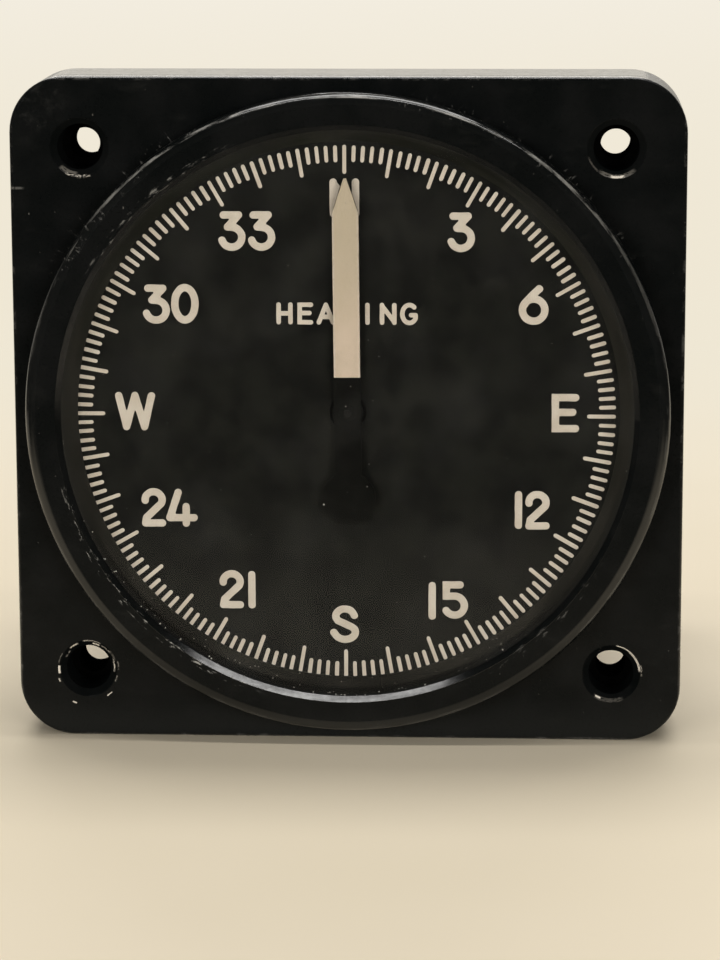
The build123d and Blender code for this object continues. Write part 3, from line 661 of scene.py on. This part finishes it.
# Places of the figures' middles on the dial, in millimetres
DIAL_FIGURES = [
    ("3", 13.28, 21.5), ("6", 21.9, 12.9), ("1", 20.26, -11.66), ("2", 22.51, -11.68),
    ("1", 10.0, -22.84), ("5", 12.74, -22.7), ("2", -14.04, -21.64), ("1", -11.62, -21.68),
    ("2", -23.3, -11.7), ("4", -19.93, -11.72), ("3", -22.75, 12.82), ("0", -19.27, 12.89),
    ("3", -13.71, 21.54), ("3", -10.2, 21.56),
]
DIAL_LETTERS = [("N", -0.34, 25.5), ("E", 25.72, 0.06), ("S", -0.5, -25.8), ("W", -25.36, -0.02)]
legend_word = "HEADING"
legend_middle = (-0.12, 11.8)
legend_reach = 14.7


def stroke_field(strokes, brush, px, pz):
    """Distance outside the brushed shape, and negative inside, at arrays of places."""
    nearest = np.full(px.shape, 1e9)
    for kind, points in strokes:
        for (ax, az), (bx, bz) in zip(points, points[1:]):
            dx, dz = bx - ax, bz - az
            length = math.hypot(dx, dz)
            along = ((px - ax) * dx + (pz - az) * dz) / length
            if kind == "round":
                held = np.clip(along, 0, length)
                away = np.hypot(px - ax - held * dx / length, pz - az - held * dz / length)
            else:
                across = np.abs((px - ax) * dz - (pz - az) * dx) / length
                past = np.abs(along - length / 2) - length / 2 + brush / 2
                away = np.maximum(across, past)
            nearest = np.minimum(nearest, away)
    return nearest - brush / 2


def outline_field(corners, px, pz):
    """Distance outside a convex outline given anticlockwise, and negative inside."""
    furthest = np.full(px.shape, -1e9)
    for (ax, az), (bx, bz) in zip(corners, corners[1:] + corners[:1]):
        length = math.hypot(bx - ax, bz - az)
        furthest = np.maximum(furthest, ((px - ax) * (bz - az) - (pz - az) * (bx - ax)) / length)
    return furthest


def ripple(px, pz, pitch, layer):
    """Smooth noise at arrays of places."""
    return np.array([
        [noise.noise((x * pitch, z * pitch, layer)) for x, z in zip(*row)] for row in zip(px, pz)
    ])


def painted_shape(field, low, high, step, height, edge, shoulder, waver, front, sink=0.0, lumps=0.0):
    """Points and faces of raised paint that fills a field: crowned in front and flat behind."""
    columns = int(math.ceil((high[0] - low[0]) / step)) + 3
    rows = int(math.ceil((high[1] - low[1]) / step)) + 3
    px, pz = np.meshgrid(
        low[0] + step * (np.arange(columns) - 1), low[1] + step * (np.arange(rows) - 1)
    )
    wave = ripple(px, pz, 1.1, 3.1) * waver

    def value(x, z):
        return field(x, z) + wave

    slack = -0.2 * step
    nudge = 0.02
    inside = value(px, pz)
    kept = np.zeros((rows - 1, columns - 1), bool)
    for down in (0, 1):
        for right in (0, 1):
            kept |= inside[down:rows - 1 + down, right:columns - 1 + right] < slack
    edge_point = inside > slack
    for _ in range(3):
        now = value(px, pz)
        slope_x = (value(px + nudge, pz) - value(px - nudge, pz)) / (2 * nudge)
        slope_z = (value(px, pz + nudge) - value(px, pz - nudge)) / (2 * nudge)
        steep = np.maximum(slope_x ** 2 + slope_z ** 2, 0.25)
        px = np.where(edge_point, px - now * slope_x / steep, px)
        pz = np.where(edge_point, pz - now * slope_z / steep, pz)
    depth = np.clip(-value(px, pz) / shoulder, 0, 1)
    crown = edge + (height - edge) * np.sqrt(1 - (1 - depth) ** 2)
    if lumps:
        crown += lumps * depth * ripple(px, pz, 2.2, 7.7)

    points, faces, number = [], [], {}

    def point(row, column, level):
        key = (row, column, level)
        if key not in number:
            number[key] = len(points)
            y = front - crown[row, column] if level else front + sink
            points.append((px[row, column], y, pz[row, column]))
        return number[key]

    sides = {}
    for row, column in zip(*np.nonzero(kept)):
        ring = [(row, column), (row, column + 1), (row + 1, column + 1), (row + 1, column)]
        faces.append([point(*corner, 1) for corner in ring])
        faces.append([point(*corner, 0) for corner in reversed(ring)])
        for start, end in zip(ring, ring[1:] + ring[:1]):
            if (end, start) in sides:
                del sides[(end, start)]
            else:
                sides[(start, end)] = True
    for start, end in sides:
        faces.append([point(*end, 1), point(*start, 1), point(*start, 0), point(*end, 0)])
    return points, faces


def joined(parts):
    """Several lists of points and faces as one."""
    points, faces = [], []
    for more_points, more_faces in parts:
        base = len(points)
        points.extend(more_points)
        faces.extend([base + corner for corner in face] for face in more_faces)
    return points, faces


def painted_figure(letter, x, z, scale, brush, step):
    """One figure or letter in raised paint on the dial."""
    strokes = [
        (kind, [(x + scale * px, z + scale * pz) for px, pz in points])
        for kind, points in FIGURES[letter]
    ]
    every = [point for _, points in strokes for point in points]
    low = (min(p[0] for p in every) - brush, min(p[1] for p in every) - brush)
    high = (max(p[0] for p in every) + brush, max(p[1] for p in every) + brush)
    return painted_shape(
        lambda px, pz: stroke_field(strokes, brush, px, pz), low, high, step,
        paint_height * scale, paint_edge, brush / 2, 0.03 * scale, dial_front, paint_sink,
    )


def add_figures(finish):
    """Figures, quarter letters and the legend in the middle of the dial."""
    for name, places in (("dial_figures", DIAL_FIGURES), ("quarter_letters", DIAL_LETTERS)):
        shapes = joined([painted_figure(*place, 1.0, figure_brush, 0.1) for place in places])
        new_piece(name, mesh_of(name, *shapes, 60), finish, "case")
    pitch = legend_reach / (len(legend_word) - 1)
    first = legend_middle[0] - legend_reach / 2
    legend = joined([
        painted_figure(letter, first + pitch * place, legend_middle[1], legend_scale, legend_brush, 0.06)
        for place, letter in enumerate(legend_word)
    ])
    new_piece("dial_legend", mesh_of("dial_legend", *legend, 60), finish, "case")


# The dial is printed a little off the pointer's axis
mark_middle = (-0.34, -0.32)
mark_count = 180
marks_to_long = 5
mark_outer = 32.03
mark_long = 3.4
mark_short = 2.0
mark_width = 0.46
mark_height = 0.04


def painted_mark(heading, inner, outer, width, jitter):
    """One graduation with round ends, lying along a heading on the dial."""
    half = width / 2 * (1 + 0.06 * jitter.uniform(-1, 1))
    inner += 0.04 * jitter.uniform(-1, 1)
    outer += 0.04 * jitter.uniform(-1, 1)
    lean = math.radians(heading) + 0.0012 * jitter.uniform(-1, 1)
    ends = 6
    ring = []
    for middle, start in ((outer - half, 0.0), (inner + half, math.pi)):
        for place in range(ends):
            turn = start + math.pi * place / (ends - 1)
            ring.append((half * math.cos(turn), middle + half * math.sin(turn)))
    levels = (
        (1.0, dial_front + paint_sink), (1.0, dial_front - paint_edge), (0.62, dial_front - mark_height),
    )
    middle = (inner + outer) / 2
    points = []
    for share, y in levels:
        for across, along in ring:
            centre = middle + math.copysign(max(abs(along - middle) - half, 0), along - middle)
            near = centre + (along - centre) * share
            x = across * share
            points.append((
                mark_middle[0] + x * math.cos(lean) + near * math.sin(lean), y,
                mark_middle[1] + near * math.cos(lean) - x * math.sin(lean),
            ))
    count = len(ring)
    faces = [list(range(count)), list(range(3 * count - 1, 2 * count - 1, -1))]
    for level in (0, count):
        for place in range(count):
            after = (place + 1) % count
            faces.append([level + place, level + count + place, level + count + after, level + after])
    return points, faces


def add_marks(finish):
    """The ring of graduations, with every fifth one longer."""
    jitter = random.Random(11)
    parts = []
    for place in range(mark_count):
        length = mark_long if place % marks_to_long == 0 else mark_short
        heading = 360 * place / mark_count
        parts.append(painted_mark(heading, mark_outer - length, mark_outer, mark_width, jitter))
    mesh = mesh_of("graduation_marks", *joined(parts), 50)
    piece = new_piece("graduation_marks", mesh, finish, "case")
    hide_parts("dial_graduations")


def add_coat(finish):
    """The pointer's thick luminous coat, crowned and a little lumpy, where the CAD coat lies."""
    heading = math.radians(-0.5)
    half = 1.56
    tip_half = 0.17
    tip_length = 4.1
    low, tip = coat_low.z, coat_high.z
    shoulder = tip - tip_length
    corners = [
        (-half, low), (half, low), (half, shoulder), (tip_half, tip), (-tip_half, tip), (-half, shoulder),
    ]
    front = coat_high.y
    points, faces = painted_shape(
        lambda px, pz: outline_field(corners, px, pz), (-half, low), (half, tip), 0.16,
        front - coat_low.y, 0.03, 0.3, 0.02, front, 0.0, 0.012,
    )
    turned = [
        (x * math.cos(heading) + z * math.sin(heading), y, z * math.cos(heading) - x * math.sin(heading))
        for x, y, z in points
    ]
    mesh = mesh_of("pointer_coat", turned, faces, 60)
    piece = new_piece("pointer_coat", mesh, finish, "rotor")
    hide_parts("pointer_luminous_coat")


def chip(centre, size, thickness, draw):
    """A small irregular flake lying on a front-facing surface."""
    count = 6
    spin = draw.uniform(0, math.tau)
    stretch = draw.uniform(0.5, 1.0)
    ring = []
    for place in range(count):
        turn = math.tau * place / count
        reach = size * draw.uniform(0.6, 1.0)
        along, across = reach * math.cos(turn), reach * stretch * math.sin(turn)
        ring.append((
            along * math.cos(spin) - across * math.sin(spin),
            along * math.sin(spin) + across * math.cos(spin),
        ))
    x, y, z = centre
    points = [(x + px, y, z + pz) for px, pz in ring]
    points += [(x + 0.6 * px, y - thickness * draw.uniform(0.5, 1.0), z + 0.6 * pz) for px, pz in ring]
    faces = [list(range(count)), list(range(2 * count - 1, count - 1, -1))]
    for place in range(count):
        after = (place + 1) % count
        faces.append([place, count + place, count + after, after])
    return points, faces


# Larger specks on the glass, at X and Z in millimetres, with their size
GLASS_SPECKS = [
    (-2.75, -10.6, 0.13), (2.4, -8.4, 0.10), (-0.1, 1.2, 0.08), (0.5, 3.6, 0.07), (3.1, 1.9, 0.05),
    (12.8, 6.6, 0.05), (-16.2, -4.4, 0.05), (9.2, -16.8, 0.06), (-6.8, 17.9, 0.05), (18.9, -4.9, 0.05),
    (-20.4, 7.2, 0.05), (5.9, -22.4, 0.06), (-11.4, -14.3, 0.05), (24.1, 8.8, 0.05),
]

# Groups of flakes along the lip: heading of the middle, half spread in degrees, count
FLAKE_CLUSTERS = (
    (228, 20, 44), (258, 7, 9), (196, 14, 18), (176, 12, 20), (150, 20, 10), (318, 14, 8), (60, 50, 8),
)


def add_dirt(finish):
    """Flakes of old paint and dust in the corner of the lip, and specks on the glass."""
    draw = random.Random(23)
    rest = glass_front - 0.002
    flakes = []
    for middle, spread, count in FLAKE_CLUSTERS:
        for _ in range(count):
            turn = math.radians(middle + spread * draw.uniform(-1, 1))
            r = lip_r - 0.12 - 0.9 * draw.random() ** 2
            size = draw.uniform(0.05, 0.15)
            flakes.append(chip((r * math.sin(turn), rest, r * math.cos(turn)), size, 0.08, draw))
    new_piece("lip_flakes", mesh_of("lip_flakes", *joined(flakes), 20), finish, "case")
    specks = [chip((x, rest, z), size, 0.03, draw) for x, z, size in GLASS_SPECKS]
    new_piece("glass_specks", mesh_of("glass_specks", *joined(specks), 20), finish, "case")


thread_pitch = 1.058
thread_depth = 0.55
barrel_r = 7.94


def add_connector_thread(finish):
    """The connector's shell with a real thread on its barrel, in place of the plain one."""
    source = NODES["connector_shell"]
    mesh = source.data.copy()
    mesh.materials.clear()
    shaped = bmesh.new()
    shaped.from_mesh(mesh)
    near = 0.02

    def on_barrel(vert):
        return abs(math.hypot(vert.co.x, vert.co.z) / MM - barrel_r) < near

    heights = [vert.co.y / MM for vert in shaped.verts if on_barrel(vert)]
    foot = min(height for height in heights if height > shell_front + 1.0)
    top = max(heights)
    wall = [
        face for face in shaped.faces if all(map(on_barrel, face.verts)) and abs(face.normal.y) < 0.1
    ]
    bmesh.ops.delete(shaped, geom=wall, context="FACES")
    around = 72
    per_turn = 9
    relief_length = 0.9
    run_in_length = 0.5
    end_length = 0.15
    root = barrel_r - thread_depth
    steps = int((top - foot) / thread_pitch * per_turn)
    rows = [(foot, barrel_r, False), (foot, root, False)]
    for step in range(1, steps):
        rows.append((foot + (top - foot) * step / steps, None, True))
    rows.append((top, barrel_r, False))
    grid = []
    for y, fixed, threaded in rows:
        ring = []
        run_in = min(1.0, max(0.0, (y - foot - relief_length) / run_in_length))
        full_end = 1 - min(1.0, max(0.0, (top - y) / end_length))
        for place in range(around):
            turn = math.tau * place / around
            r = fixed
            if threaded:
                phase = (y / thread_pitch + place / around) % 1.0
                ridge = min(1.0, 1.25 * (1 - abs(2 * phase - 1)))
                r = root + thread_depth * max(ridge * run_in, full_end)
            ring.append(shaped.verts.new((MM * r * math.sin(turn), MM * y, MM * r * math.cos(turn))))
        grid.append(ring)
    for lower, upper in zip(grid, grid[1:]):
        for place in range(around):
            after = (place + 1) % around
            face = shaped.faces.new((lower[place], lower[after], upper[after], upper[place]))
            face.smooth = True
    bmesh.ops.recalc_face_normals(shaped, faces=shaped.faces)
    shaped.to_mesh(mesh)
    shaped.free()
    piece = new_piece("threaded_shell", mesh, finish, "case")
    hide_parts("connector_shell")


def add_floor():
    """A pale floor: it keeps the shadow near the object, turns into the plain backdrop far from it,
    and is mirrored dimly where it lies on the camera's side."""
    mesh = bpy.data.meshes.new("floor")
    reach = 6.0
    corners = ((-reach, -reach), (reach, -reach), (reach, reach), (-reach, reach))
    mesh.from_pydata([(x, y, floor_z * MM) for x, y in corners], [], [(0, 1, 2, 3)])
    floor = bpy.data.objects.new("floor", mesh)
    bpy.context.scene.collection.objects.link(floor)
    made = Finish("pale_floor", tone(228, 216, 193), 0.7, Specular_IOR_Level=0.1)
    cloud = made.rise(made.grain(0.01, 3), 0.3, 0.7)
    made.set("Base Color", made.mixed(cloud, tone(228, 216, 193), tone(224, 212, 188)))
    ray = made.node("ShaderNodeLightPath")
    kinds = ("Is Camera Ray", "Is Glossy Ray", "Is Transmission Ray")
    shown = made.most(*(ray.outputs[kind] for kind in kinds))
    away = made.maths("SQRT", made.plus(made.times(made.x, made.x), made.times(made.y, made.y)))
    beside = made.most(made.y, made.minus(away, 140.0))
    far = made.rise(beside, 60.0, 300.0)
    deep = made.rise(made.y, 200.0, 1800.0)
    backdrop = made.node("ShaderNodeEmission", made.mixed(deep, tone(239, 231, 212), tone(243, 237, 224)))
    bright = made.blend(made.times(shown, far), made.shader.outputs[0], backdrop.outputs[0])
    dim = made.node("ShaderNodeEmission", tone(60, 58, 54))
    beside_view = made.minus(made.absolute(made.x), made.most(made.y, 0.0))
    unlit = made.most(made.rise(made.y, -60.0, -160.0), made.rise(beside_view, 100.0, 200.0))
    front = made.times(ray.outputs["Is Glossy Ray"], unlit)
    made.show(made.blend(front, bright, dim.outputs[0]))
    mesh.materials.append(made.material)


def add_world():
    """A plain pale studio: even light, and less of it mirrored from the side of the camera."""
    world = bpy.data.worlds.new("studio")
    bpy.context.scene.world = world
    world.use_nodes = True
    made = Nodes(world.node_tree)
    made.tree.nodes.clear()
    pale = tone(243, 237, 224)

    def light(strength, colour=pale):
        return made.node("ShaderNodeBackground", colour, strength).outputs[0]

    direction = made.node("ShaderNodeTexCoord").outputs["Generated"]
    split = made.node("ShaderNodeSeparateXYZ", direction).outputs
    from_back = made.rise(split[1], 0.2, 0.75, 0.05, 1.0)
    below_ceiling = made.rise(split[2], 0.25, 0.75, 1.0, 0.25)
    mirrored = light(made.times(from_back, below_ceiling))
    ray = made.node("ShaderNodeLightPath").outputs
    even = light(0.13, (1.0, 0.98, 0.95, 1.0))
    lit = made.blend(ray["Is Glossy Ray"], even, mirrored)
    straight = made.most(ray["Is Camera Ray"], ray["Is Transmission Ray"])
    made.node("ShaderNodeOutputWorld", made.blend(straight, lit, light(1.0)))


def add_lamp(name, place, aim, size, power, mirrored=True):
    """A soft rectangular lamp that points at a place, with both in millimetres."""
    data = bpy.data.lights.new(name, "AREA")
    data.shape = "RECTANGLE"
    data.size = size[0] * MM
    data.size_y = size[1] * MM
    data.energy = power
    data.color = studio_white
    lamp = bpy.data.objects.new(name, data)
    bpy.context.scene.collection.objects.link(lamp)
    lamp.location = Vector(place) * MM
    lamp.rotation_mode = "QUATERNION"
    lamp.rotation_quaternion = (Vector(aim) - Vector(place)).to_track_quat("-Z", "Y")
    lamp.visible_glossy = mirrored


def add_camera():
    """The camera at the photograph's place, aim, roll and lens."""
    data = bpy.data.cameras.new("camera")
    data.lens = camera_lens
    data.sensor_width = camera_sensor
    data.clip_start = 0.01
    data.clip_end = 30.0
    camera = bpy.data.objects.new("camera", data)
    bpy.context.scene.collection.objects.link(camera)
    place, aim = Vector(camera_place), Vector(camera_aim)
    turn = (aim - place).to_track_quat("-Z", "Y").to_matrix().to_4x4()
    roll = Matrix.Rotation(math.radians(camera_roll), 4, "Z")
    camera.matrix_world = Matrix.Translation(place * MM) @ turn @ roll
    bpy.context.scene.camera = camera


hand_black = (tone(13, 13, 12), tone(20, 20, 18))
brass = bare_metal("turned_brass", tone(176, 148, 96), 0.36)
steel = bare_metal("plated_steel", tone(168, 168, 166), 0.34)
shell_metal = bare_metal("connector_plating", tone(150, 148, 134), 0.42)
marking = marking_finish()
coat = coat_finish()
FINISHES = {
    "housing_paint": housing_finish(),
    "case_paint": case_finish(),
    # Painted shade: the inserts are near black with no shine, partly from their black finish and partly
    # so that the bores of the holes read dark.
    "insert_metal": plain_paint("blacked_insert_painted_shade", tone(5, 5, 5), tone(9, 9, 8), 0.8, 1.0, level=0.0),
    "gasket_rubber": soft_plastic("gasket_rubber_black", tone(20, 20, 20), 0.7),
    "glass": glass_finish(),
    "mask_paint": mask_finish(),
    "dial_paint": plain_paint(
        "dial_matt_black", tone(20, 20, 19), tone(30, 30, 27), 0.65, 0.25, depth=0.008, level=0.15
    ),
    "marking": marking,
    "pointer_black": plain_paint("pointer_matt_black", *hand_black, 0.65, 0.5, level=0.15),
    "luminous_coat": coat,
    "weight_black": plain_paint("weight_matt_black", *hand_black, 0.65, 0.5, level=0.15),
    "brass": brass,
    "steel": steel,
    "magnet": bare_metal("magnet_alloy", tone(104, 100, 98), 0.5),
    "jewel": jewel_finish(),
    "alloy": bare_metal("machined_alloy", tone(176, 178, 180), 0.4, (1.0, 0.2, 1.0)),
    "motor_steel": bare_metal("motor_housing_steel", tone(140, 140, 140), 0.42, (1.0, 0.2, 1.0)),
    "lamination": lamination_finish(),
    "copper_wire": winding_finish(),
    "board": soft_plastic("brown_laminate_board", tone(108, 70, 38), 0.5),
    "lead_sleeve": soft_plastic("lead_sleeve_black", tone(28, 27, 27), 0.5),
    "connector_metal": shell_metal,
    "connector_body": soft_plastic("moulded_insert_black", tone(24, 23, 23), 0.4),
    "gold_pin": bare_metal("gold_plated_pin", tone(214, 170, 90), 0.25, (1.0, 1.0, 1.0), 1.5, 0.15),
}
dress_nodes(FINISHES, {
    "rotor_shaft": tipped_steel(),
    "front_bearing_bush": bare_metal("blacked_bush_brass", tone(30, 27, 21), 0.65),
})
add_figures(marking)
add_marks(marking)
add_coat(coat)
add_dirt(plain_paint("old_paint_flakes", tone(190, 186, 176), tone(222, 219, 210), 0.7, 2.0, 0.02, 0.3))
add_connector_thread(shell_metal)
add_floor()
add_world()
studio_white = (1.0, 0.985, 0.96)
centre = (0, 0, 0)
add_lamp("overhead_softbox", (0, 250, 860), centre, (760, 300), 4.6)
add_lamp("overhead_strip", (80, -96, 860), (80, 0, 0), (1040, 56), 2.3)
add_lamp("rear_softbox", (0, 800, 450), centre, (700, 300), 2.6)
add_lamp("front_left_softbox", (-540, -800, 170), centre, (500, 300), 4.5, mirrored=False)
add_lamp("front_right_softbox", (540, -800, 170), centre, (500, 300), 4.5, mirrored=False)
add_camera()
bpy.context.scene.view_settings.view_transform = "Standard"
